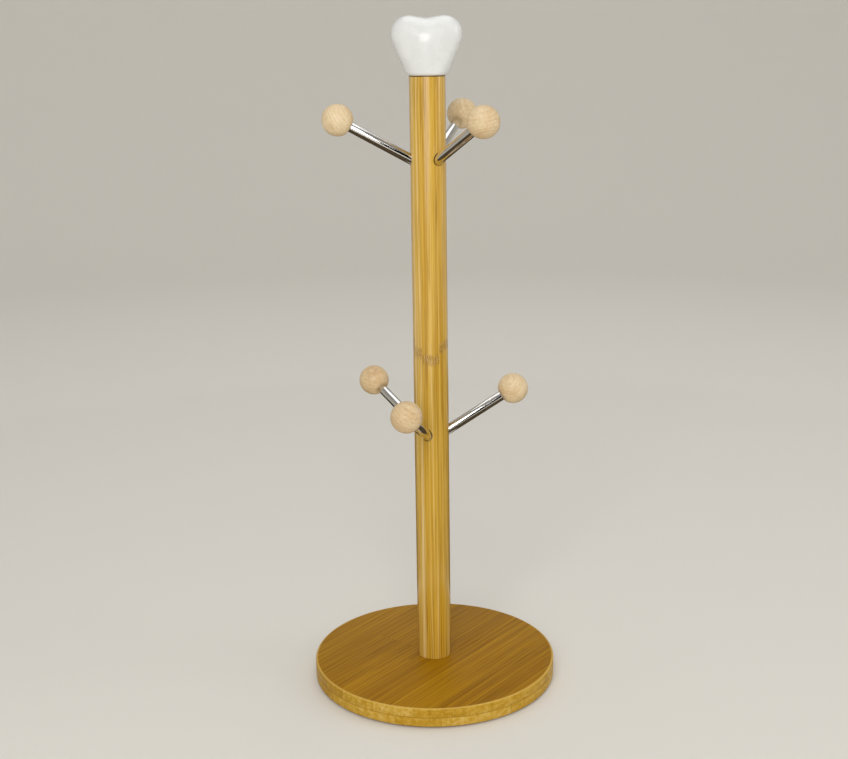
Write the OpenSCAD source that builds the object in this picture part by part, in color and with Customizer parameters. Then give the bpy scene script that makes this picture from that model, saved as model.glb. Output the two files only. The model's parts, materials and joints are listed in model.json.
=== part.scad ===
// Mug tree: a round bamboo base and post, six steel arms with wooden knobs, and a ceramic heart
// finial. Millimetres, +Z up, the heart faces -Y. The origin is on the table, under the post.

/* [Base] */
// Diameter of the round base
base_d = 150; // [130:1:200]
// Thickness of each of the base's two glued bamboo plies
ply_t = 5.8; // [5:0.1:9]
// Bevel round the base's top edge
base_bevel = 0.9; // [0.3:0.1:2]
// Bevel round the base's bottom edge
base_heel = 0.6; // [0.2:0.1:1.5]
// Depth of the shallow seat that the post stands in
seat_depth = 3; // [1.5:0.1:3.5]

/* [Foot pads] */
// Diameter of each self-adhesive pad under the base
pad_d = 12; // [8:1:18]
// Thickness of a pad
pad_t = 1; // [0.5:0.1:2]

/* [Post] */
// Diameter of the round post
post_d = 20.8; // [19:0.1:26]
// Height of the post's top above the table
post_top_h = 369.4; // [340:0.1:450]
// Chamfer at both ends of the post
post_chamfer = 0.5; // [0.2:0.1:1.5]

/* [Arms] */
// Height at which the upper arms' axes cross the post's axis
upper_tier_h = 316.7; // [280:0.1:330]
// Height at which the lower arms' axes cross the post's axis
lower_tier_h = 153; // [110:0.1:200]
// Direction of the first upper arm, anticlockwise from +X
upper_turn = 186; // [180:1:239]
// Direction of the first lower arm, anticlockwise from +X
lower_turn = 14; // [0:1:60]
// Upward slope of every arm
arm_tilt = 29; // [20:1:35]
// Distance along an arm from the post's axis to the knob's centre
arm_reach = 59; // [50:0.5:70]
// Diameter of the steel rod
rod_d = 6; // [5:0.1:6.4]
// Radial running clearance between a rod and its socket in the post
socket_gap = 0.05; // [0.02:0.01:0.1]
// How much wider the mouth of a socket is than the rod
mouth_relief = 0.7; // [0.3:0.1:1.2]

/* [Knobs] */
// Diameter of the wooden ball at the end of an arm
knob_d = 18.4; // [16:0.1:22]
// Diameter of the flat on the ball, round the rod
knob_flat_d = 9.2; // [8:0.1:12]

/* [Heart finial] */
// Width across the heart's two lobes
heart_w = 40.8; // [36:0.1:46]
// Height of the heart above the post
heart_h = 33; // [30:0.1:38]
// Radius of each rounded lobe
lobe_r = 10.5; // [9:0.1:11]
// Thickness of each lobe, front to back
lobe_t = 18.4; // [16:0.1:20]
// Thickness of the heart at its middle, front to back
heart_t = 25.6; // [23:0.1:28]
// Width of the bulge in the heart's middle
bulge_w = 31; // [28:0.5:34]
// Diameter of the flat that rests on the post
heart_flat_d = 22.4; // [21:0.1:24]
// Height and width of the easing round the flat
heart_ease = 1; // [0.5:0.1:1.5]

/* [Fasteners] */
// Thread diameter of the wood screw that holds the post
screw_d = 5; // [4:0.1:5.4]
// Length of the screw under its head
screw_l = 36; // [28:1:50]
// Diameter of the screw's pan head
screw_head_d = 9.5; // [8:0.1:11]
// Height of the screw's pan head
screw_head_h = 3; // [2.5:0.1:3.4]
// Outer diameter of the flat washer under the screw head
washer_d = 14; // [12:0.5:18]
// Thickness of the washer
washer_t = 1; // [0.8:0.1:1.2]
// Diameter of the dowel that locates the heart
dowel_d = 8; // [6:0.5:10]
// Length of the dowel
dowel_l = 24; // [16:1:28]

/* [Hidden] */
$fn = 96;
overcut = 1;
glue_gap = 0.05;
PADS = [1, 2, 3, 4];
ARMS = [1, 2, 3];

base_t = 2 * ply_t;
base_low_z = pad_t;
ply_joint_z = base_low_z + ply_t;
base_top_z = base_low_z + base_t;
seat_floor_z = base_top_z - seat_depth;
pad_inset = 7;
pad_ring_r = base_d / 2 - pad_inset - pad_d / 2;
first_pad_turn = 45;

screw_recess = 0.6;
washer_room = 2;
screw_room = 0.4;
counterbore_d = washer_d + washer_room;
washer_low_z = base_low_z + screw_recess + screw_head_h;
counterbore_top_z = washer_low_z + washer_t;
screw_hole_d = screw_d + screw_room;
screw_core_d = 0.68 * screw_d;
screw_neck_l = 9;
neck_taper_l = 1;
head_rim_d = 0.82 * screw_head_d;
head_taper_l = 1;
thread_pitch = 2.4;
thread_tip_l = 5;
thread_count = floor((screw_l - screw_neck_l - thread_tip_l) / thread_pitch);
pilot_d = 0.76 * screw_d;
pilot_spare = 2;
pilot_top_z = washer_low_z + screw_l + pilot_spare;
recess_arm = 0.55 * screw_head_d;
recess_w = 1.1;
recess_depth = 1.7;

socket_floor = 3.6;
mouth_depth = 0.4;
socket_mouth = post_d / 2 - mouth_depth;
tip_gap = 0.2;
rod_tip = socket_floor + tip_gap;
rod_chamfer = 0.4;
bore_reach = post_d;
knob_flat_z = sqrt(pow(knob_d / 2, 2) - pow(knob_flat_d / 2, 2));
rod_end = arm_reach - knob_flat_z;
spigot_d = 4;
spigot_l = 9;
spigot_spare = 0.5;

lobe_x = heart_w / 2 - lobe_r;
lobe_z = heart_h - lobe_r;
middle_r = heart_t / 2;
middle_z = 0.56 * heart_h;
dowel_spare = 1;
dowel_chamfer = 0.5;
dowel_bore_depth = dowel_l / 2 + dowel_spare;

// Direction of arm i in a tier whose first arm points at first_turn
function arm_turn(first_turn, i) = first_turn + (i - 1) * 360 / len(ARMS);

// Puts a child that is drawn along +Z from the post's axis onto an arm's axis
module on_arm(height, turn) {
    translate([0, 0, height])
        rotate([0, 90 - arm_tilt, turn])
            children();
}

module on_each_arm() {
    for (i = ARMS) {
        on_arm(upper_tier_h, arm_turn(upper_turn, i)) children();
        on_arm(lower_tier_h, arm_turn(lower_turn, i)) children();
    }
}

// Soft pad i under the base
module foot_pad(i) {
    color("dimgray")
        rotate([0, 0, first_pad_turn + (i - 1) * 360 / len(PADS)])
            translate([pad_ring_r, 0, 0])
                cylinder(d = pad_d, h = pad_t);
}

// Lower ply, counterbored for the washer and the screw head
module base_bottom_ply() {
    color("burlywood")
        difference() {
            union() {
                translate([0, 0, base_low_z])
                    cylinder(d1 = base_d - 2 * base_heel, d2 = base_d, h = base_heel);
                translate([0, 0, base_low_z + base_heel])
                    cylinder(d = base_d, h = ply_t - base_heel);
            }
            translate([0, 0, base_low_z - overcut])
                cylinder(d = screw_hole_d, h = ply_t + 2 * overcut);
            translate([0, 0, base_low_z - overcut])
                cylinder(d = counterbore_d, h = counterbore_top_z - base_low_z + overcut);
        }
}

// Upper ply, with the seat for the post
module base_top_ply() {
    color("burlywood")
        difference() {
            union() {
                translate([0, 0, ply_joint_z])
                    cylinder(d = base_d, h = ply_t - base_bevel);
                translate([0, 0, base_top_z - base_bevel])
                    cylinder(d1 = base_d, d2 = base_d - 2 * base_bevel, h = base_bevel);
            }
            translate([0, 0, ply_joint_z - overcut])
                cylinder(d = screw_hole_d, h = ply_t + 2 * overcut);
            translate([0, 0, seat_floor_z])
                cylinder(d = post_d + 2 * glue_gap, h = seat_depth + overcut);
        }
}

module base_washer() {
    color("silver")
        translate([0, 0, washer_low_z])
            difference() {
                cylinder(d = washer_d, h = washer_t);
                translate([0, 0, -overcut])
                    cylinder(d = screw_hole_d, h = washer_t + 2 * overcut);
            }
}

// Profile of the screw's shank above its head: a plain neck, saw-tooth threads and a point
function screw_profile() = concat(
    [[0, 0], [screw_d / 2, 0], [screw_d / 2, screw_neck_l - neck_taper_l], [screw_core_d / 2, screw_neck_l]],
    [for (t = [0 : thread_count - 1], p = [
        [screw_core_d / 2, screw_neck_l + (t + 0.35) * thread_pitch],
        [screw_d / 2, screw_neck_l + (t + 0.62) * thread_pitch],
        [screw_core_d / 2, screw_neck_l + (t + 0.95) * thread_pitch]]) p],
    [[screw_core_d / 2, screw_l - thread_tip_l], [0, screw_l]]
);

// Pan-head wood screw, driven up through the base into the post
module base_screw() {
    color("silver")
        translate([0, 0, washer_low_z])
            difference() {
                union() {
                    rotate_extrude()
                        polygon(screw_profile());
                    translate([0, 0, -screw_head_h])
                        cylinder(d1 = head_rim_d, d2 = screw_head_d, h = head_taper_l);
                    translate([0, 0, head_taper_l - screw_head_h])
                        cylinder(d = screw_head_d, h = screw_head_h - head_taper_l);
                }
                for (quarter = [0, 90])
                    rotate([0, 0, quarter])
                        translate([-recess_arm / 2, -recess_w / 2, -screw_head_h - overcut])
                            cube([recess_arm, recess_w, recess_depth + overcut]);
            }
}

// Blind socket for a rod, drawn along +Z from the post's axis, with a slightly wider mouth
module rod_socket() {
    translate([0, 0, socket_floor])
        cylinder(d = rod_d + 2 * socket_gap, h = bore_reach);
    translate([0, 0, socket_mouth])
        cylinder(d = rod_d + mouth_relief, h = bore_reach);
}

// Round post with six rod sockets, a pilot hole below and a dowel hole above
module post() {
    post_l = post_top_h - seat_floor_z;
    color("tan")
        difference() {
            translate([0, 0, seat_floor_z]) {
                cylinder(d1 = post_d - 2 * post_chamfer, d2 = post_d, h = post_chamfer);
                translate([0, 0, post_chamfer])
                    cylinder(d = post_d, h = post_l - 2 * post_chamfer);
                translate([0, 0, post_l - post_chamfer])
                    cylinder(d1 = post_d, d2 = post_d - 2 * post_chamfer, h = post_chamfer);
            }
            translate([0, 0, seat_floor_z - overcut])
                cylinder(d = pilot_d, h = pilot_top_z - seat_floor_z + overcut);
            translate([0, 0, post_top_h - dowel_bore_depth])
                cylinder(d = dowel_d + 2 * glue_gap, h = dowel_bore_depth + overcut);
            on_each_arm() rod_socket();
        }
}

// Wooden dowel, half in the post and half in the heart
module finial_dowel() {
    color("wheat")
        translate([0, 0, post_top_h - dowel_l / 2]) {
            cylinder(d1 = dowel_d - 2 * dowel_chamfer, d2 = dowel_d, h = dowel_chamfer);
            translate([0, 0, dowel_chamfer])
                cylinder(d = dowel_d, h = dowel_l - 2 * dowel_chamfer);
            translate([0, 0, dowel_l - dowel_chamfer])
                cylinder(d1 = dowel_d, d2 = dowel_d - 2 * dowel_chamfer, h = dowel_chamfer);
        }
}

// One side of the heart: a lobe blended into the heart's middle and its flat foot
module heart_side(side) {
    hull() {
        translate([side * lobe_x, 0, lobe_z])
            scale([1, lobe_t / (2 * lobe_r), 1])
                sphere(r = lobe_r, $fn = 48);
        translate([0, 0, middle_z])
            scale([bulge_w / heart_t, 1, 1])
                sphere(r = middle_r, $fn = 48);
        cylinder(d1 = heart_flat_d, d2 = heart_flat_d + 2 * heart_ease, h = heart_ease, $fn = 48);
    }
}

// Rounded ceramic heart with a flat foot and a blind hole for the dowel
module heart_finial() {
    color("white")
        translate([0, 0, post_top_h])
            difference() {
                union() {
                    heart_side(-1);
                    heart_side(1);
                }
                translate([0, 0, -overcut])
                    cylinder(d = dowel_d + 2 * glue_gap, h = dowel_bore_depth + overcut);
            }
}

// Profile of a rod with its spigot, from the tip in the post to the spigot in the knob
function rod_profile() = [
    [0, rod_tip],
    [rod_d / 2 - rod_chamfer, rod_tip],
    [rod_d / 2, rod_tip + rod_chamfer],
    [rod_d / 2, rod_end],
    [spigot_d / 2, rod_end],
    [spigot_d / 2, rod_end + spigot_l - rod_chamfer],
    [spigot_d / 2 - rod_chamfer, rod_end + spigot_l],
    [0, rod_end + spigot_l]
];

// Polished steel rod
module rod() {
    color("silver")
        rotate_extrude()
            polygon(rod_profile());
}

// Wooden ball with a flat round the rod and a blind hole for the spigot
module knob() {
    color("bisque")
        translate([0, 0, arm_reach])
            difference() {
                sphere(d = knob_d);
                translate([0, 0, -knob_flat_z - knob_d])
                    cylinder(d = 2 * knob_d, h = knob_d);
                translate([0, 0, -knob_flat_z - overcut])
                    cylinder(d = spigot_d + 2 * glue_gap, h = spigot_l + spigot_spare + overcut);
            }
}

for (i = PADS)
    foot_pad(i);
base_bottom_ply();
base_top_ply();
base_washer();
base_screw();
post();
finial_dowel();
heart_finial();
for (i = ARMS) {
    on_arm(upper_tier_h, arm_turn(upper_turn, i)) rod();
    on_arm(upper_tier_h, arm_turn(upper_turn, i)) knob();
    on_arm(lower_tier_h, arm_turn(lower_turn, i)) rod();
    on_arm(lower_tier_h, arm_turn(lower_turn, i)) knob();
}
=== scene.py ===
"""Mug tree: laminated bamboo base and post, polished steel arms with wooden knobs, glazed ceramic heart."""

import json
import math

import bpy
from mathutils import Euler, Matrix, Vector


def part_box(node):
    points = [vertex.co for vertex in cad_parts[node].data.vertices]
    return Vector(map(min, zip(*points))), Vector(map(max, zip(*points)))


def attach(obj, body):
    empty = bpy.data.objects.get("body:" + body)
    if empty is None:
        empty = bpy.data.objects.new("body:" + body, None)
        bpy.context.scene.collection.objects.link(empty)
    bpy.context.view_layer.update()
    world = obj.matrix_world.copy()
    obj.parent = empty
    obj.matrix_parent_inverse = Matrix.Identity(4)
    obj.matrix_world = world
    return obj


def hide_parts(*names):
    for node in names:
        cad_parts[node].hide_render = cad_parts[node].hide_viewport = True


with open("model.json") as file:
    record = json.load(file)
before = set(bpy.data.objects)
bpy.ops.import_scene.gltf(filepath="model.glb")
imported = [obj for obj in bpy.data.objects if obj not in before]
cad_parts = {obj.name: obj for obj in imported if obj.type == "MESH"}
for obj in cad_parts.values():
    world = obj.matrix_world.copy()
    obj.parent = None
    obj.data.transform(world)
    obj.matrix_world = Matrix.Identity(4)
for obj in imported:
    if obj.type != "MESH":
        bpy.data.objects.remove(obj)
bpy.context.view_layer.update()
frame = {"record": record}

MM = 0.001

# ---------------------------------------------------------------- sizes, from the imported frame
TIERS = ("upper", "lower")
ARMS = [(tier, i) for tier in TIERS for i in (1, 2, 3)]
HOOKS = {mount["name"]: mount for mount in frame["record"]["mounts"] if mount["kind"] == "other"}


def span(node, axis):
    """A node's size along one axis."""
    low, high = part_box(node)
    return high[axis] - low[axis]


def low_z(node):
    """The height of a node's lowest point."""
    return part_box(node)[0][2]


def high_z(node):
    """The height of a node's highest point."""
    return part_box(node)[1][2]


BASE_R = span("base_top_ply", 0) / 2
BASE_LOW = low_z("base_bottom_ply")
PLY_JOINT = low_z("base_top_ply")
BASE_TOP = high_z("base_top_ply")
POST_R = span("post", 0) / 2
POST_LOW = low_z("post")
POST_TOP = high_z("post")
HEART_W = span("heart_finial", 0)
HEART_T = span("heart_finial", 1)
HEART_H = span("heart_finial", 2)
WASHER_R = span("base_washer", 0) / 2
SCREW_HEAD_R = span("base_screw", 0) / 2
DOWEL_R = span("finial_dowel", 0) / 2

# Gaps and blind holes
GLUE_GAP = 0.05 * MM
HOLE_SPARE = 0.5 * MM
DOWEL_HOLE = 13.0 * MM
PILOT_R = 1.9 * MM
PILOT_HOLE = 33.0 * MM

# Along an arm, from the post's axis
ROD_R = 3.0 * MM
ROD_TIP = 3.8 * MM
KNOB_R = 9.2 * MM
KNOB_FLAT_R = 4.6 * MM
ARM_REACH = 59.0 * MM
KNOB_FLAT = math.sqrt(KNOB_R**2 - KNOB_FLAT_R**2)
ROD_END = ARM_REACH - KNOB_FLAT
SPIGOT_R = 2.0 * MM
SPIGOT_L = 9.0 * MM
SOCKET_END = 3.6 * MM
MOUTH_START = 10.0 * MM
MOUTH_END = 18.0 * MM
MOUTH_EASE = 0.35 * MM

# The wood screw
SHANK_R = 2.5 * MM
CORE_R = 1.7 * MM
NECK_L = 8.0 * MM
NECK_TAPER_L = 0.6 * MM
TIP_L = 5.0 * MM
THREAD_PITCH = 2.4 * MM
RECESS_L = 5.2 * MM
RECESS_W = 1.1 * MM
RECESS_DEPTH = 1.7 * MM


# ---------------------------------------------------------------- modelling helpers
def deselect():
    if bpy.context.mode != "OBJECT":
        bpy.ops.object.mode_set(mode="OBJECT")
    bpy.ops.object.select_all(action="DESELECT")


def pick(obj):
    deselect()
    obj.select_set(True)
    bpy.context.view_layer.objects.active = obj


def edit_all(obj):
    """Opens a piece in edit mode with everything selected."""
    pick(obj)
    bpy.ops.object.mode_set(mode="EDIT")
    bpy.ops.mesh.select_all(action="SELECT")


def clear_selection(obj):
    """Leaves nothing selected in a piece's mesh."""
    pick(obj)
    bpy.ops.object.mode_set(mode="EDIT")
    bpy.ops.mesh.select_all(action="DESELECT")
    bpy.ops.object.mode_set(mode="OBJECT")


def select_faces(obj, wanted):
    """Selects the faces whose centre and normal answer wanted(centre, normal), in edit mode."""
    clear_selection(obj)
    for face in obj.data.polygons:
        face.select = bool(wanted(face.center, face.normal))
    bpy.ops.object.mode_set(mode="EDIT")
    bpy.ops.mesh.select_mode(type="FACE")


def select_edges(obj, wanted):
    """Selects the edges whose two ends answer wanted(a, b), in edit mode."""
    clear_selection(obj)
    points = obj.data.vertices
    for edge in obj.data.edges:
        a, b = (points[index].co for index in edge.vertices)
        edge.select = bool(wanted(a, b))
    bpy.ops.object.mode_set(mode="EDIT")
    bpy.ops.mesh.select_mode(type="EDGE")


def done():
    bpy.ops.object.mode_set(mode="OBJECT")


def extrude(x, y, z):
    """Extrudes the selected faces by a distance."""
    bpy.ops.mesh.extrude_region_move(TRANSFORM_OT_translate={"value": (x, y, z)})


def cylinder(name, radius, low, high, sides=96):
    """An upright cylinder on the Z axis between two heights."""
    deselect()
    bpy.ops.mesh.primitive_cylinder_add(
        vertices=sides, radius=radius, depth=high - low, location=(0, 0, (low + high) / 2)
    )
    obj = bpy.context.active_object
    obj.name = obj.data.name = name
    bpy.ops.object.transform_apply(location=True, rotation=True, scale=True)
    return obj


def round_rim(obj, height, radius, width, steps=3):
    """Bevels the ring of edges at one height and radius."""

    def on_rim(point):
        return abs(point.z - height) < 1e-5 and abs(point.xy.length - radius) < 2e-5

    select_edges(obj, lambda a, b: on_rim(a) and on_rim(b))
    bpy.ops.mesh.bevel(offset=width, segments=steps, profile=0.5, affect="EDGES")
    done()


def sink(obj, height, up, radius, depth):
    """Insets the flat end face at one height to the given radius and pushes it in by depth."""
    select_faces(obj, lambda c, n: abs(c.z - height) < 1e-5 and n.z * up > 0.9 and c.xy.length < MM)
    obj.update_from_editmode()
    now = max(v.co.xy.length for v in obj.data.vertices if v.select)
    bpy.ops.mesh.inset(thickness=now - radius, depth=0)
    extrude(0, 0, -up * depth)
    done()


def join(pieces):
    """Joins pieces into the last one of them."""
    deselect()
    for piece in pieces:
        piece.select_set(True)
    bpy.context.view_layer.objects.active = pieces[-1]
    bpy.ops.object.join()
    return pieces[-1]


def apply_modifiers(obj):
    pick(obj)
    for modifier in list(obj.modifiers):
        bpy.ops.object.modifier_apply(modifier=modifier.name)


def cut(obj, cutters):
    """Takes the cutters out of a piece, and removes them."""
    for cutter in cutters:
        hole = obj.modifiers.new("hole", "BOOLEAN")
        hole.operation = "DIFFERENCE"
        hole.solver = "EXACT"
        hole.object = cutter
    apply_modifiers(obj)
    for cutter in cutters:
        remove(cutter)


def smooth(obj, degrees=30):
    pick(obj)
    bpy.ops.object.shade_smooth_by_angle(angle=math.radians(degrees))


def place(obj, matrix):
    """Moves a piece and leaves its object at the origin, with its place in its mesh."""
    obj.matrix_world = matrix
    pick(obj)
    bpy.ops.object.transform_apply(location=True, rotation=True, scale=True)


def copy_of(obj, name):
    """A copy of a piece with a mesh of its own."""
    twin = obj.copy()
    twin.data = obj.data.copy()
    twin.name = twin.data.name = name
    bpy.context.scene.collection.objects.link(twin)
    return twin


def remove(obj):
    bpy.data.objects.remove(obj, do_unlink=True)


def dress(obj, finish, body, slot, *nodes):
    """Gives a finished piece its material and its body, and hides the CAD nodes that it stands for."""
    obj.data.materials.clear()
    obj.data.materials.append(finish)
    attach(obj, body)
    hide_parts(*nodes)


def arm_matrix(tier, index):
    """Turns +Z at the origin onto an arm's axis, starting on the post's axis."""
    hook = HOOKS[f"{tier}_hook_{index}"]
    axis = Vector(hook["axis"])
    middle = Vector(hook["pos_m"])
    root = middle - axis * (middle.xy.length / axis.xy.length)
    return Matrix.Translation(root) @ axis.to_track_quat("Z", "Y").to_matrix().to_4x4()


# ---------------------------------------------------------------- material helpers
class Wire:
    """An output of a shader node. Arithmetic on it adds Math nodes to the same finish."""

    def __init__(self, finish, socket):
        self.finish = finish
        self.socket = socket

    def math(self, operation, first, second=0.0):
        return self.finish.node("ShaderNodeMath", {"operation": operation}, {0: first, 1: second})

    def __add__(self, other):
        return self.math("ADD", self, other)

    def __radd__(self, other):
        return self.math("ADD", other, self)

    def __sub__(self, other):
        return self.math("SUBTRACT", self, other)

    def __rsub__(self, other):
        return self.math("SUBTRACT", other, self)

    def __mul__(self, other):
        return self.math("MULTIPLY", self, other)

    def __rmul__(self, other):
        return self.math("MULTIPLY", other, self)

    def __truediv__(self, other):
        return self.math("DIVIDE", self, other)

    def __pow__(self, other):
        return self.math("POWER", self, other)

    def __abs__(self):
        return self.math("ABSOLUTE", self)

    def floor(self):
        return self.math("FLOOR", self)

    def fract(self):
        return self.math("FRACT", self)

    def above(self, low, high):
        """0 below low and 1 above high, with a soft step between."""
        return self.finish.node(
            "ShaderNodeMapRange",
            {"interpolation_type": "SMOOTHSTEP"},
            {"Value": self, "From Min": low, "From Max": high, "To Min": 0.0, "To Max": 1.0},
        )


class Finish:
    """A procedural material on one Principled shader."""

    def __init__(self, name, **uniform):
        self.material = bpy.data.materials.new(name)
        self.material.use_nodes = True
        self.nodes = self.material.node_tree.nodes
        self.links = self.material.node_tree.links
        self.shader = self.nodes["Principled BSDF"]
        for socket, value in uniform.items():
            self.shader.inputs[socket.replace("_", " ")].default_value = value

    def node(self, kind, settings=None, inputs=None, output=0):
        """Adds a node: its settings first, then the values or links of its sockets."""
        made = self.nodes.new(kind)
        for name, value in (settings or {}).items():
            if name == "stops":
                self.set_stops(made.color_ramp, value)
            else:
                setattr(made, name, value)
        for name, value in (inputs or {}).items():
            socket = made.inputs[name]
            if isinstance(value, Wire):
                self.links.new(value.socket, socket)
            else:
                socket.default_value = value
        return Wire(self, made.outputs[output])

    @staticmethod
    def set_stops(ramp, stops):
        while len(ramp.elements) < len(stops):
            ramp.elements.new(1.0)
        for element, (position, colour) in zip(ramp.elements, stops):
            element.position = position
            element.color = (*colour, 1.0)

    def feed(self, socket, wire):
        self.links.new(wire.socket, self.shader.inputs[socket])

    def coordinates(self, turn=(0, 0, 0), centre=(0, 0, 0)):
        """Object coordinates, taken about a centre and turned."""
        here = self.node("ShaderNodeTexCoord", output=3)
        moved = self.node("ShaderNodeVectorMath", {"operation": "SUBTRACT"}, {0: here, 1: tuple(centre)})
        return self.node("ShaderNodeMapping", {}, {"Vector": moved, "Rotation": tuple(turn)})

    def split(self, vector):
        made = self.node("ShaderNodeSeparateXYZ", {}, {0: vector}).socket.node
        return [Wire(self, made.outputs[i]) for i in range(3)]

    def join(self, x, y, z):
        return self.node("ShaderNodeCombineXYZ", {}, {0: x, 1: y, 2: z})

    def noise(self, vector, scale=1.0, detail=2.0, roughness=0.5):
        return self.node(
            "ShaderNodeTexNoise",
            {},
            {"Vector": vector, "Scale": scale, "Detail": detail, "Roughness": roughness},
        )

    def random(self, x, y=0.0, z=0.0):
        """A number from 0 to 1 that is the same all over a cell."""
        cell = self.join(x, y, z)
        return self.node("ShaderNodeTexWhiteNoise", {"noise_dimensions": "3D"}, {"Vector": cell})

    def mix(self, factor, first, second):
        """Mixes two colours by a factor."""
        return self.node(
            "ShaderNodeMix",
            {"data_type": "RGBA"},
            {0: factor, 6: self.colour(first), 7: self.colour(second)},
            output=2,
        )

    @staticmethod
    def colour(value):
        return value if isinstance(value, Wire) else (*value, 1.0)

    def ramp(self, factor, *stops):
        return self.node("ShaderNodeValToRGB", {"stops": stops}, {0: factor})

    def bump(self, height, distance):
        """Raises and lowers the surface by up to a distance."""
        inputs = {"Height": height, "Distance": distance, "Strength": 1.0}
        self.feed("Normal", self.node("ShaderNodeBump", {}, inputs))


# ---------------------------------------------------------------- finishes
class Bamboo:
    """Laminated bamboo with its fibres along the turned X axis, in strips of a width and a height.

    It holds each strip's layer and its tone from -0.5 to 0.5, and masks from 0 to 1: fine fibre,
    broad streak, dark bundle, seam between strips, and the knuckle band with its flecks.
    """

    def __init__(self, f, turn, centre, strip, knuckle_every, knuckle_at, knuckle_spread):
        self.f = f
        along, across, up = f.split(f.coordinates(turn, centre))
        wave = f.noise(f.join(along * 7.0, across * 26.0, up * 26.0), detail=1.0) - 0.5
        self.layer = layer = (up / strip[1]).floor()
        sideways = across + layer * (0.43 * strip[0]) + wave * (0.8 * MM)
        number = (sideways / strip[0]).floor()
        self.tone = f.random(number, layer, 3.0) - 0.5
        shift = f.random(number, layer, 11.0)

        place_in_cane = (along + (shift - 0.5) * knuckle_spread - knuckle_at) / knuckle_every
        away = abs((place_in_cane + 0.5).fract() - 0.5) * knuckle_every
        ragged = f.noise(f.join(along * 150.0, across * 520.0, up * 520.0), detail=3.0) - 0.5
        self.knuckle = 1.0 - (away + ragged * (8.0 * MM)).above(1.0 * MM, 4.6 * MM)
        flecks = f.noise(f.join(along * 420.0, across * 1300.0, up * 1300.0), detail=3.0, roughness=0.7)
        self.fleck = self.knuckle * flecks.above(0.50, 0.60)

        swerve = self.knuckle * ragged * (1.6 * MM)
        u = (sideways + swerve) * 1000.0
        w = (up + swerve) * 1000.0
        self.fibre = f.noise(f.join(along * 7.0, u * 1.35, w * 1.35), detail=4.0, roughness=0.68)
        self.streak = f.noise(f.join(along * 4.0, u * 0.45, w * 0.45), detail=2.0, roughness=0.6)
        bundle = f.noise(f.join(along * 20.0 + shift * 9.0, u * 1.9, w * 1.9), detail=2.0)
        self.bundle = bundle.above(0.55, 0.68)
        in_strip = (sideways / strip[0]).fract()
        from_middle = abs(in_strip - 0.5) * (2.0 * strip[0])
        self.seam = from_middle.above(strip[0] - 0.30 * MM, strip[0] - 0.04 * MM)

    def colour(self, dark, stops, tone, fibre, streak, knuckle):
        """Grain colours from dark to pale, with dark bundles, seams and knuckles drawn in."""
        f = self.f
        spread = self.tone * tone + (self.fibre - 0.5) * fibre + (self.streak - 0.5) * streak
        colour = f.ramp(spread + 0.5, *stops)
        colour = f.mix(self.bundle * 0.55, colour, dark)
        colour = f.mix(self.seam * 0.45, colour, dark)
        colour = f.mix(self.knuckle * knuckle, colour, dark)
        return f.mix(self.fleck * (0.75 * knuckle), colour, stops[-1][1])

    def varnish(self, colour, roughness, coat, depth):
        """Satin varnish over the grain."""
        f = self.f
        f.feed("Base Color", colour)
        f.feed("Roughness", roughness + self.fibre * 0.14 + self.bundle * 0.1)
        f.feed("Coat Weight", coat * (1.0 - self.seam * 0.6 - self.fleck * 0.3))
        f.bump(self.fibre * 0.5 - self.bundle * 0.35 - self.seam * 0.9 + self.fleck * 0.15, depth)
        return f.material


def bamboo_board(turn):
    """Base board: fine parallel fibres, paler cut ends round the edge, and a painted highlight along the
    rounded top edge.
    """
    f = Finish("bamboo_board", Specular_IOR_Level=0.14, Coat_Roughness=0.25)
    ply = PLY_JOINT - BASE_LOW
    grain = Bamboo(f, turn, (0, 0, BASE_LOW), (24 * MM, ply), 0.36, 0.115, 0.18)
    face = grain.colour(
        (0.150, 0.055, 0.000),
        (
            (0.12, (0.220, 0.092, 0.000)),
            (0.40, (0.335, 0.153, 0.001)),
            (0.62, (0.425, 0.208, 0.002)),
            (0.92, (0.565, 0.310, 0.010)),
        ),
        tone=0.17,
        fibre=1.1,
        streak=0.8,
        knuckle=0.16,
    )
    blotch = f.noise(f.coordinates(), scale=420.0, detail=4.0, roughness=0.75)
    pore = f.noise(f.coordinates(), scale=1900.0, detail=2.0, roughness=0.7).above(0.56, 0.66)
    cut_end = f.ramp(
        grain.tone * 0.40 + (grain.streak - 0.5) * 0.7 + (blotch - 0.5) * 0.85 + 0.5,
        (0.10, (0.330, 0.165, 0.006)),
        (0.42, (0.490, 0.275, 0.018)),
        (0.66, (0.590, 0.370, 0.060)),
        (0.92, (0.700, 0.500, 0.170)),
    )
    cut_end = f.mix(pore * 0.35, cut_end, (0.230, 0.110, 0.004))
    cut_end = f.mix(grain.seam * 0.30, cut_end, (0.200, 0.090, 0.002))
    x, y, z = f.split(f.coordinates())
    glue_line = 1.0 - abs(z - PLY_JOINT).above(0.10 * MM, 0.38 * MM)
    cut_end = f.mix(glue_line * (blotch * 0.9), cut_end, (0.240, 0.115, 0.004))
    radius = (x * x + y * y) ** 0.5
    colour = f.mix(radius.above(BASE_R - 0.95 * MM, BASE_R - 0.5 * MM), face, cut_end)
    # painted highlight: a pale band along the rounded top edge, where light catches the bevel
    inside_rim = 1.0 - radius.above(BASE_R - 0.35 * MM, BASE_R)
    near_rim = radius.above(BASE_R - 1.5 * MM, BASE_R - 0.9 * MM) * inside_rim
    arris = near_rim * z.above(BASE_TOP - 1.4 * MM, BASE_TOP - 0.8 * MM)
    colour = f.mix(arris * 0.55, colour, (0.70, 0.47, 0.12))
    return grain.varnish(colour, 0.40, 0.04, 0.10 * MM)


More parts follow.
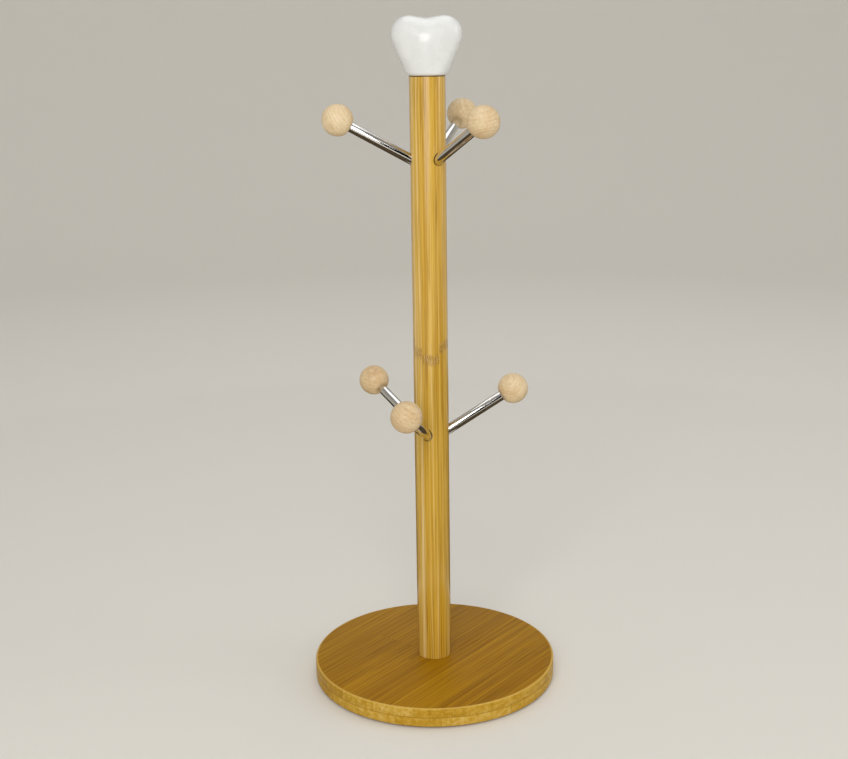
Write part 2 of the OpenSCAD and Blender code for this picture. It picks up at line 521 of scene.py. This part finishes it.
def bamboo_post():
    """Post: upright rows of strips, golden, pale and orange, with a knuckle band part of the way up. The
    pale row is partly painted highlight, and the top is darkened by painted shadow under the heart.
    """
    f = Finish("bamboo_post", Specular_IOR_Level=0.4, Coat_Roughness=0.16)
    row = 4.8 * MM
    grain = Bamboo(f, (0, math.radians(90), 0), (0.3 * MM, 0, 0), (6.2 * MM, row), 0.29, 0.209, 0.009)
    # painted highlight: the pale row is made paler than its grain alone where the post's highlight falls;
    # it is partly a real pale strip
    rows = f.ramp(
        (grain.layer + 2.5) / 4.0,
        (0.00, (0.22,) * 3),
        (0.25, (0.98,) * 3),
        (0.50, (0.28,) * 3),
        (0.75, (0.70,) * 3),
    )
    grain.tone = grain.tone * 0.45 + (rows - 0.5)
    colour = grain.colour(
        (0.240, 0.105, 0.002),
        (
            (0.05, (0.360, 0.165, 0.003)),
            (0.36, (0.560, 0.312, 0.018)),
            (0.62, (0.680, 0.425, 0.065)),
            (0.95, (0.840, 0.650, 0.330)),
        ),
        tone=0.66,
        fibre=1.25,
        streak=0.8,
        knuckle=0.5,
    )
    height = f.split(f.coordinates())[2]
    # painted shadow: the top of the post is darkened just under the heart
    heart_shadow = height.above(POST_TOP - 0.9 * MM, POST_TOP - 0.45 * MM)
    colour = f.mix(heart_shadow * 0.85, colour, (0.040, 0.022, 0.008))
    return grain.varnish(colour, 0.30, 0.60, 0.07 * MM)


def knob_wood(name, turn, centre, off, tone):
    """Pale close-grained hardwood: soft growth rings, short ray flecks and a satin lacquer.

    The grain is turned, and off says how far away the tree's heart lies, in millimetres.
    """
    f = Finish(name, Specular_IOR_Level=0.4)
    x, y, z = f.split(f.coordinates(turn, centre))
    bend = f.noise(f.join(x * 60.0, y * 60.0, z * 22.0), detail=2.0) - 0.5
    off_x = x + off[0] * MM + bend * (2.4 * MM)
    off_y = y + off[1] * MM
    ring = ((off_x * off_x + off_y * off_y) ** 0.5) / (1.9 * MM)
    late = ring.fract() ** 2.0
    fibre = f.noise(f.join(x * 1500.0, y * 1500.0, z * 90.0), detail=3.0, roughness=0.65)
    cloud = f.noise(f.join(x * 150.0, y * 150.0, z * 80.0), detail=3.0, roughness=0.6)
    ray = f.noise(f.join(x * 2300.0, y * 900.0, z * 420.0), detail=1.0).above(0.58, 0.70)
    ring_tone = f.random(ring.floor(), 2.0) * 0.12 - late * 0.16
    spread = ring_tone - (fibre - 0.5) * 0.75 - (cloud - 0.5) * 0.7
    # tone makes a knob paler or darker; on lower knobs 2 and 3 the darkening is partly painted shade
    colour = f.ramp(
        spread + (0.58 + tone),
        (0.10, (0.500, 0.320, 0.155)),
        (0.36, (0.650, 0.465, 0.255)),
        (0.62, (0.745, 0.580, 0.355)),
        (0.92, (0.830, 0.700, 0.480)),
    )
    colour = f.mix(ray * 0.35, colour, (0.450, 0.275, 0.130))
    f.feed("Base Color", colour)
    f.feed("Roughness", 0.42 + fibre * 0.16)
    f.feed("Coat Weight", 0.16 - late * 0.08)
    f.bump(fibre * 0.4 - late * 0.3 - ray * 0.4, 0.05 * MM)
    return f.material


def polished_steel(name, turn, centre):
    """Mirror-polished rod with faint drawing lines along it and tiny handling marks."""
    f = Finish(name, Metallic=1.0)
    x, y, z = f.split(f.coordinates(turn, centre))
    drawn = f.noise(f.join(x * 4200.0, y * 4200.0, z * 26.0), detail=2.0)
    cloud = f.noise(f.join(x * 140.0, y * 140.0, z * 110.0), detail=3.0, roughness=0.65)
    f.feed("Base Color", f.mix(cloud, (0.66, 0.64, 0.61), (0.80, 0.79, 0.77)))
    f.feed("Roughness", 0.05 + drawn * 0.06 + cloud.above(0.5, 0.8) * 0.12)
    f.bump(drawn, 0.004 * MM)
    return f.material


def white_glaze():
    """White glaze over ceramic: cool white, a little thinner, warmer and rougher round the foot."""
    f = Finish("white_glaze", Specular_IOR_Level=0.3, Coat_Roughness=0.15)
    here = f.coordinates()
    cloud = f.noise(here, scale=70.0, detail=3.0, roughness=0.6)
    pin = f.noise(here, scale=1500.0, detail=1.0).above(0.80, 0.86)
    colour = f.mix(cloud.above(0.3, 0.75), (0.740, 0.752, 0.748), (0.780, 0.793, 0.792))
    colour = f.mix(pin * 0.25, colour, (0.55, 0.50, 0.43))
    z = f.split(here)[2]
    foot = 1.0 - z.above(POST_TOP + 0.3 * MM, POST_TOP + 1.3 * MM)
    colour = f.mix(foot * 0.6, colour, (0.78, 0.72, 0.60))
    f.feed("Base Color", colour)
    f.feed("Roughness", 0.22 + cloud * 0.12 + foot * 0.25)
    f.feed("Coat Weight", 0.6 - foot * 0.5)
    f.bump(f.noise(here, scale=260.0, detail=2.0) + pin * -0.4, 0.035 * MM)
    return f.material


def plain_dowel():
    """Dry, unfinished hardwood dowel with lengthways flutes of grain."""
    f = Finish("dowel_wood")
    x, y, z = f.split(f.coordinates())
    fibre = f.noise(f.join(x * 1500.0, y * 1500.0, z * 45.0), detail=3.0)
    f.feed("Base Color", f.ramp(fibre, (0.3, (0.42, 0.25, 0.11)), (0.7, (0.70, 0.52, 0.31))))
    f.feed("Roughness", 0.62 + fibre * 0.2)
    f.bump(fibre, 0.08 * MM)
    return f.material


def plated_steel():
    """Zinc-plated fastener: cool grey with a faint mottle and turning marks."""
    f = Finish("plated_steel", Metallic=1.0)
    here = f.coordinates()
    x, y, z = f.split(here)
    mottle = f.noise(here, scale=900.0, detail=3.0, roughness=0.7)
    ring = f.noise(f.join((x * x + y * y) ** 0.5 * 5200.0, z * 2600.0, 0.0), detail=1.0)
    f.feed("Base Color", f.mix(mottle, (0.46, 0.46, 0.45), (0.70, 0.71, 0.70)))
    f.feed("Roughness", 0.26 + mottle * 0.22)
    f.bump(ring * 0.6 + mottle * 0.4, 0.012 * MM)
    return f.material


def pad_foam():
    """Dense black foam pad with an open, finely pitted skin."""
    f = Finish("pad_foam", Specular_IOR_Level=0.3)
    here = f.coordinates()
    pit = f.node("ShaderNodeTexVoronoi", {"feature": "F1"}, {"Vector": here, "Scale": 1900.0})
    cloud = f.noise(here, scale=300.0, detail=2.0)
    f.feed("Base Color", f.mix(cloud, (0.020, 0.020, 0.022), (0.055, 0.054, 0.052)))
    f.feed("Roughness", 0.78 + cloud * 0.16)
    f.bump(pit, 0.12 * MM)
    return f.material


# ---------------------------------------------------------------- base
GRAIN_TURN = math.radians(-53)


def make_base_boards():
    """Two glued plies. The upper has a rounded arris and the post's seat, the lower a counterbore."""
    finish = bamboo_board((0, 0, GRAIN_TURN))
    seam_groove = 0.18 * MM

    upper = cylinder("base_board_upper", BASE_R, PLY_JOINT, BASE_TOP, 256)
    round_rim(upper, BASE_TOP, BASE_R, 0.9 * MM, 4)
    round_rim(upper, PLY_JOINT, BASE_R, seam_groove, 2)
    sink(upper, BASE_TOP, 1, POST_R + GLUE_GAP, BASE_TOP - POST_LOW)
    smooth(upper)
    dress(upper, finish, "stand", "bamboo_board", "base_top_ply")

    lower = cylinder("base_board_lower", BASE_R, BASE_LOW, PLY_JOINT, 256)
    round_rim(lower, PLY_JOINT, BASE_R, seam_groove, 2)
    round_rim(lower, BASE_LOW, BASE_R, 0.7 * MM, 3)
    counterbore_r = WASHER_R + 1.0 * MM
    sink(lower, BASE_LOW, -1, counterbore_r, high_z("base_washer") - BASE_LOW)
    round_rim(lower, BASE_LOW, counterbore_r, 0.3 * MM, 2)
    smooth(lower)
    dress(lower, finish, "stand", "bamboo_board", "base_bottom_ply")


def make_pads():
    """Round foam pads with softly rounded edges."""
    finish = pad_foam()
    radius = span("foot_pad_1", 0) / 2
    thick = span("foot_pad_1", 2)
    model = cylinder("pad_model", radius, 0, thick, 64)
    round_rim(model, 0, radius, 0.35 * MM, 4)
    round_rim(model, thick, radius, 0.12 * MM, 2)
    smooth(model)
    for i in (1, 2, 3, 4):
        low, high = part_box(f"foot_pad_{i}")
        centre = Vector(((low[0] + high[0]) / 2, (low[1] + high[1]) / 2, low[2]))
        pad = copy_of(model, f"foam_pad_{i}")
        place(pad, Matrix.Translation(centre))
        dress(pad, finish, "stand", "pad_foam", f"foot_pad_{i}")
    remove(model)


def make_washer(finish):
    """Flat washer with a clearance hole and softened edges."""
    low, high = low_z("base_washer"), high_z("base_washer")
    hole_r = SHANK_R + 0.2 * MM
    washer = cylinder("flat_washer", WASHER_R, low, high)
    select_faces(washer, lambda c, n: abs(n.z) > 0.9)
    bpy.ops.mesh.inset(thickness=WASHER_R - hole_r, depth=0, use_individual=True)
    bpy.ops.mesh.bridge_edge_loops()
    done()
    for height in (low, high):
        round_rim(washer, height, WASHER_R, 0.15 * MM, 2)
    smooth(washer)
    dress(washer, finish, "stand", "plated_steel", "base_washer")


def recess_blade(turn, low):
    """One of the two crossing blades that cut the screw's recess, narrower towards its bottom."""
    deselect()
    bpy.ops.mesh.primitive_cube_add(size=1, location=(0, 0, low))
    blade = bpy.context.active_object
    blade.scale = (RECESS_L, RECESS_W, 2 * RECESS_DEPTH)
    blade.rotation_euler = Euler((0, 0, turn))
    bpy.ops.object.transform_apply(location=True, rotation=True, scale=True)
    bottom = low + RECESS_DEPTH
    select_faces(blade, lambda c, n: abs(c.z - bottom) < 1e-5)
    bpy.ops.transform.resize(value=(0.45, 0.45, 1), center_override=(0, 0, bottom))
    done()
    return blade


def make_screw(finish):
    """Pan-head wood screw with a cross recess and a real helical thread."""
    head_low = low_z("base_screw")
    seat = low_z("base_washer")
    head = cylinder("pan_head_screw", SCREW_HEAD_R, head_low, seat)
    round_rim(head, head_low, SCREW_HEAD_R, 1.3 * MM, 6)
    cut(head, [recess_blade(turn, head_low) for turn in (0, math.pi / 2)])

    neck_top = high_z("base_washer") + NECK_L
    tip = high_z("base_screw")
    shank = cylinder("screw_shank", SHANK_R, seat - 0.2 * MM, neck_top, 48)
    select_faces(shank, lambda c, n: n.z > 0.9)
    extrude(0, 0, NECK_TAPER_L)
    bpy.ops.transform.resize(value=(CORE_R / SHANK_R, CORE_R / SHANK_R, 1))
    extrude(0, 0, tip - TIP_L - neck_top - NECK_TAPER_L)
    extrude(0, 0, TIP_L)
    bpy.ops.transform.resize(value=(0.08, 0.08, 1))
    done()
    thread = make_thread(CORE_R - 0.15 * MM, SHANK_R, neck_top, tip - TIP_L + 0.5 * MM, THREAD_PITCH)
    screw = join([thread, shank, head])
    smooth(screw)
    dress(screw, finish, "stand", "plated_steel", "base_screw")


def make_thread(core, crest, low, high, pitch):
    """One V-shaped ridge wound round the core, closed at both ends."""
    deselect()
    bpy.ops.mesh.primitive_circle_add(vertices=3, radius=1, fill_type="NGON")
    ridge = bpy.context.active_object
    ridge.name = "screw_thread"
    corners = [(core, 0, -0.3 * pitch), (crest, 0, 0), (core, 0, 0.3 * pitch)]
    for vertex, corner in zip(ridge.data.vertices, corners):
        vertex.co = Vector(corner) + Vector((0, 0, low + 0.4 * pitch))
    turns = (high - low) / pitch - 1
    winding = ridge.modifiers.new("winding", "SCREW")
    winding.axis = "Z"
    winding.angle = 2 * math.pi * turns
    winding.screw_offset = pitch * turns
    winding.steps = winding.render_steps = int(32 * turns)
    apply_modifiers(ridge)
    edit_all(ridge)
    bpy.ops.mesh.remove_doubles(threshold=1e-6)
    bpy.ops.mesh.fill_holes(sides=3)
    bpy.ops.mesh.select_all(action="SELECT")
    bpy.ops.mesh.normals_make_consistent(inside=False)
    done()
    return ridge


# ---------------------------------------------------------------- post
def make_post():
    """Turned post with eased ends, a dowel hole, a pilot hole and six sloping sockets."""
    post = cylinder("turned_post", POST_R, POST_LOW, POST_TOP, 160)
    round_rim(post, POST_TOP, POST_R, 0.5 * MM, 3)
    round_rim(post, POST_LOW, POST_R, 0.5 * MM, 2)
    sink(post, POST_TOP, 1, DOWEL_R + GLUE_GAP, DOWEL_HOLE)
    sink(post, POST_LOW, -1, PILOT_R, PILOT_HOLE)
    cutters = []
    for tier, i in ARMS:
        mouth = cylinder("socket_mouth", ROD_R + MOUTH_EASE, MOUTH_START, MOUTH_END, 64)
        socket = cylinder("socket", ROD_R + GLUE_GAP, SOCKET_END, MOUTH_START + HOLE_SPARE, 64)
        for cutter in (mouth, socket):
            place(cutter, arm_matrix(tier, i))
            cutters.append(cutter)
    cut(post, cutters)
    smooth(post)
    dress(post, bamboo_post(), "stand", "bamboo_post", "post")


def make_dowel():
    """Dowel with eased ends between the post and the heart."""
    low, high = low_z("finial_dowel"), high_z("finial_dowel")
    dowel = cylinder("heart_dowel", DOWEL_R, low, high, 64)
    for height in (low, high):
        round_rim(dowel, height, DOWEL_R, 0.6 * MM, 2)
    smooth(dowel)
    dress(dowel, plain_dowel(), "stand", "dowel_wood", "finial_dowel")


# ---------------------------------------------------------------- heart
LOBE_R = 10.5 * MM
LOBE_DEPTH = 0.876
MIDDLE_AT = 0.56
BULGE_WIDTH = 1.211
FOOT_R = 11.2 * MM
FOOT_EASE = 1.0 * MM
FOOT_TRIM = 0.15 * MM
SKIN_STEP = 0.55 * MM


def ball(radius, centre, stretch=(1, 1, 1)):
    deselect()
    bpy.ops.mesh.primitive_uv_sphere_add(segments=64, ring_count=32, radius=radius, location=centre)
    obj = bpy.context.active_object
    obj.scale = stretch
    bpy.ops.object.transform_apply(location=True, rotation=True, scale=True)
    return obj


def heart_half(side):
    """A lobe, the heart's middle and its eased foot, wrapped in one skin."""
    lobe_at = (side * (HEART_W / 2 - LOBE_R), 0, POST_TOP + HEART_H - LOBE_R)
    lobe = ball(LOBE_R, lobe_at, (1, LOBE_DEPTH, 1))
    middle = ball(HEART_T / 2, (0, 0, POST_TOP + MIDDLE_AT * HEART_H), (BULGE_WIDTH, 1, 1))
    foot = cylinder("foot", FOOT_R, POST_TOP, POST_TOP + FOOT_EASE, 64)
    select_faces(foot, lambda c, n: n.z > 0.9)
    spread = 1 + FOOT_EASE / FOOT_R
    bpy.ops.transform.resize(value=(spread, spread, 1))
    done()
    half = join([middle, foot, lobe])
    edit_all(half)
    bpy.ops.mesh.convex_hull()
    done()
    return half


def make_heart():
    """Two lobes melted into one puffy heart, with an eased flat foot and a hole for the dowel."""
    heart = join([heart_half(-1), heart_half(1)])
    heart.name = heart.data.name = "glazed_heart"
    skin = heart.modifiers.new("skin", "REMESH")
    skin.mode = "VOXEL"
    skin.voxel_size = SKIN_STEP
    soften = heart.modifiers.new("soften", "SMOOTH")
    soften.factor = 0.5
    soften.iterations = 14
    apply_modifiers(heart)
    edit_all(heart)
    bpy.ops.mesh.bisect(
        plane_co=(0, 0, POST_TOP + FOOT_TRIM),
        plane_no=(0, 0, -1),
        clear_outer=True,
        use_fill=True,
        threshold=1e-6,
    )
    done()
    fit_inside(heart, *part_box("heart_finial"))
    hole_low, hole_high = POST_TOP - 1.0 * MM, high_z("finial_dowel") + HOLE_SPARE
    cut(heart, [cylinder("dowel_hole", DOWEL_R + GLUE_GAP, hole_low, hole_high, 64)])
    smooth(heart, 60)
    dress(heart, white_glaze(), "stand", "white_glaze", "heart_finial")


def fit_inside(obj, low, high):
    """Stretches and moves a piece so that it fills its CAD solid's box."""
    points = [v.co for v in obj.data.vertices]
    corner = [min(p[k] for p in points) for k in range(3)]
    size = [max(p[k] for p in points) - corner[k] for k in range(3)]
    edit_all(obj)
    stretch = tuple((high[k] - low[k]) / size[k] for k in range(3))
    bpy.ops.transform.resize(value=stretch, center_override=corner)
    bpy.ops.transform.translate(value=tuple(low[k] - corner[k] for k in range(3)))
    done()


# ---------------------------------------------------------------- arms
def model_rod():
    """Straight rod with an eased inner end and a turned-down spigot for the knob."""
    rod = cylinder("rod_model", ROD_R, ROD_TIP, ROD_END, 64)
    round_rim(rod, ROD_TIP, ROD_R, 0.4 * MM, 3)
    sink(rod, ROD_END, 1, SPIGOT_R, -SPIGOT_L)
    round_rim(rod, ROD_END, ROD_R, 0.12 * MM, 2)
    round_rim(rod, ROD_END + SPIGOT_L, SPIGOT_R, 0.3 * MM, 2)
    smooth(rod)
    return rod


def model_knob():
    """Turned ball with a flat round the rod and a blind hole for the spigot."""
    knob = ball(KNOB_R, (0, 0, 0))
    knob.name = "knob_model"
    edit_all(knob)
    bpy.ops.mesh.bisect(plane_co=(0, 0, -KNOB_FLAT), plane_no=(0, 0, -1), clear_outer=True, use_fill=True)
    done()
    round_rim(knob, -KNOB_FLAT, KNOB_FLAT_R, 0.35 * MM, 3)
    sink(knob, -KNOB_FLAT, -1, SPIGOT_R + GLUE_GAP, SPIGOT_L + HOLE_SPARE)
    smooth(knob, 40)
    place(knob, Matrix.Translation((0, 0, ARM_REACH)))
    return knob


# How each knob was cut from its board: the turn of its grain, how far away the tree's heart lies
# in millimetres, and how much paler it is. Lower knobs 2 and 3 are darker partly for browner wood
# and partly as painted shade.
CUTS = {
    ("upper", 1): ((0.3, 0.5, 0.2), (14, 6), 0.06),
    ("upper", 2): ((1.2, -0.2, 0.9), (9, -12), -0.06),
    ("upper", 3): ((-0.6, 0.9, 0.1), (20, 4), 0.02),
    ("lower", 1): ((1.4, 0.3, -0.4), (11, 9), 0.0),
    ("lower", 2): ((0.8, -0.7, 1.3), (16, -7), -0.16),
    ("lower", 3): ((-0.3, 1.1, 0.6), (8, 12), -0.10),
}


def make_arms():
    """Six rods with their knobs, each arm on a body of its own."""
    rod_model, knob_model = model_rod(), model_knob()
    for tier, i in ARMS:
        matrix = arm_matrix(tier, i)
        body = f"{tier}_arm_{i}"
        rod = copy_of(rod_model, f"steel_rod_{tier}_{i}")
        place(rod, matrix)
        lay = matrix.to_3x3().inverted().to_euler()
        steel = polished_steel(f"polished_steel_{tier}_{i}", lay, matrix.translation)
        dress(rod, steel, body, "polished_steel", f"{tier}_rod_{i}")

        knob = copy_of(knob_model, f"wooden_knob_{tier}_{i}")
        place(knob, matrix)
        turn, off, tone = CUTS[tier, i]
        centre = matrix @ Vector((0, 0, ARM_REACH))
        wood = knob_wood(f"knob_wood_{tier}_{i}", turn, centre, off, tone)
        dress(knob, wood, body, "knob_wood", f"{tier}_knob_{i}")
    remove(rod_model)
    remove(knob_model)


# ---------------------------------------------------------------- stage, lights and camera
STUDIO_R = 2.6
STUDIO_H = 2.6
STUDIO_BEND = 1.1
RING_INNER_R = 0.11
RING_OUTER_R = 0.75
MIDDLE = Vector((0, 0, 0.22))


def make_studio():
    """Plain pale floor that curves up into a backdrop all round."""
    floor = cylinder("studio_floor", STUDIO_R, 0, STUDIO_H, 128)
    select_faces(floor, lambda c, n: n.z > 0.9)
    bpy.ops.mesh.delete(type="FACE")
    done()
    round_rim(floor, 0, STUDIO_R, STUDIO_BEND, 16)
    edit_all(floor)
    bpy.ops.mesh.normals_make_consistent(inside=True)
    done()
    smooth(floor, 60)
    paint = Finish("pale_floor", Roughness=0.8, Specular_IOR_Level=0.2)
    paint.shader.inputs["Base Color"].default_value = (0.80, 0.778, 0.73, 1)
    floor.data.materials.append(paint.material)


def area_light(name, azimuth, distance, height, size, power, tint, aim=MIDDLE):
    """A soft light, mostly aimed at the middle of the tree. Azimuth 0 is in front, 90 to the right."""
    turn = math.radians(azimuth)
    where = Vector((math.sin(turn) * distance, -math.cos(turn) * distance, height))
    deselect()
    bpy.ops.object.light_add(type="AREA", location=where)
    light = bpy.context.active_object
    light.name = name
    light.data.shape = "RECTANGLE"
    light.data.size, light.data.size_y = size
    light.data.energy = power
    light.data.color = tint
    light.rotation_euler = (aim - where).to_track_quat("-Z", "Y").to_euler()
    light.visible_camera = False


def reflection_card(obj, tone):
    """Makes a flat piece that only reflections can see, where it gives steel its darker bands."""
    felt = Finish(obj.name, Roughness=1.0, Specular_IOR_Level=0.0)
    felt.shader.inputs["Base Color"].default_value = (*tone, 1)
    obj.data.materials.append(felt.material)
    obj.visible_camera = obj.visible_diffuse = obj.visible_shadow = False


def make_cards():
    """A black card behind the camera and a brown ring on the floor round the stand."""
    deselect()
    bpy.ops.mesh.primitive_plane_add(size=1, location=(0.2, -1.75, 0.80), rotation=(math.pi / 2, 0, 0))
    card = bpy.context.active_object
    card.name = "black_card"
    card.scale = (3.4, 1.7, 1)
    bpy.ops.object.transform_apply(location=True, rotation=True, scale=True)
    reflection_card(card, (0.01, 0.01, 0.01))

    deselect()
    bpy.ops.mesh.primitive_circle_add(
        vertices=64, radius=RING_OUTER_R, fill_type="NGON", location=(0, 0, 1 * MM)
    )
    ring = bpy.context.active_object
    ring.name = "brown_ring"
    bpy.ops.object.transform_apply(location=True, rotation=True, scale=True)
    select_faces(ring, lambda c, n: True)
    bpy.ops.mesh.inset(thickness=RING_OUTER_R - RING_INNER_R, depth=0)
    bpy.ops.mesh.delete(type="FACE")
    done()
    reflection_card(ring, (0.10, 0.075, 0.045))


def make_lights():
    """A frontal key, a fill from the right, a top light, a wash for the backdrop and a thin strip."""
    behind = Vector((0, 2.4, 0.6))
    area_light("key", -8, 1.5, 0.93, (0.95, 1.25), 16.2, (1.0, 0.985, 0.96))
    area_light("side", 80, 1.5, 0.75, (0.7, 1.1), 4.0, (0.985, 0.99, 1.0))
    area_light("top", 170, 0.35, 1.75, (1.3, 1.3), 7.0, (1.0, 1.0, 1.0))
    area_light("backdrop", 180, 0.8, 1.5, (1.6, 0.6), 3.6, (1.0, 0.99, 0.97), behind)
    area_light("strip", 6, 1.15, 0.92, (1.0, 0.05), 0.8, (1.0, 1.0, 1.0))
    world = bpy.data.worlds.new("studio")
    world.use_nodes = True
    background = world.node_tree.nodes["Background"]
    background.inputs["Color"].default_value = (0.95, 0.95, 0.94, 1)
    background.inputs["Strength"].default_value = 0.34
    bpy.context.scene.world = world
    bpy.context.scene.view_settings.view_transform = "Standard"


def make_camera():
    """Looks slightly down on the stand from in front, from almost the height of its heart."""
    distance, height = 0.7767, 0.3902
    pitch, yaw, roll = (math.radians(a) for a in (-14.39, -0.31, -0.82))
    ahead = Vector((math.sin(yaw) * math.cos(pitch), math.cos(yaw) * math.cos(pitch), math.sin(pitch)))
    right = ahead.cross(Vector((0, 0, 1))).normalized()
    up = right.cross(ahead)
    right, up = right * math.cos(roll) + up * math.sin(roll), up * math.cos(roll) - right * math.sin(roll)
    deselect()
    bpy.ops.object.camera_add(location=(0, -distance, height))
    camera = bpy.context.active_object
    camera.name = "camera"
    camera.rotation_euler = Matrix((right, up, -ahead)).transposed().to_euler()
    camera.data.lens = 56.6
    camera.data.clip_start = 0.01
    bpy.context.scene.camera = camera


make_camera()
make_studio()
make_lights()
make_cards()
make_base_boards()
make_pads()
fastener_finish = plated_steel()
make_washer(fastener_finish)
make_screw(fastener_finish)
make_post()
make_dowel()
make_heart()
make_arms()
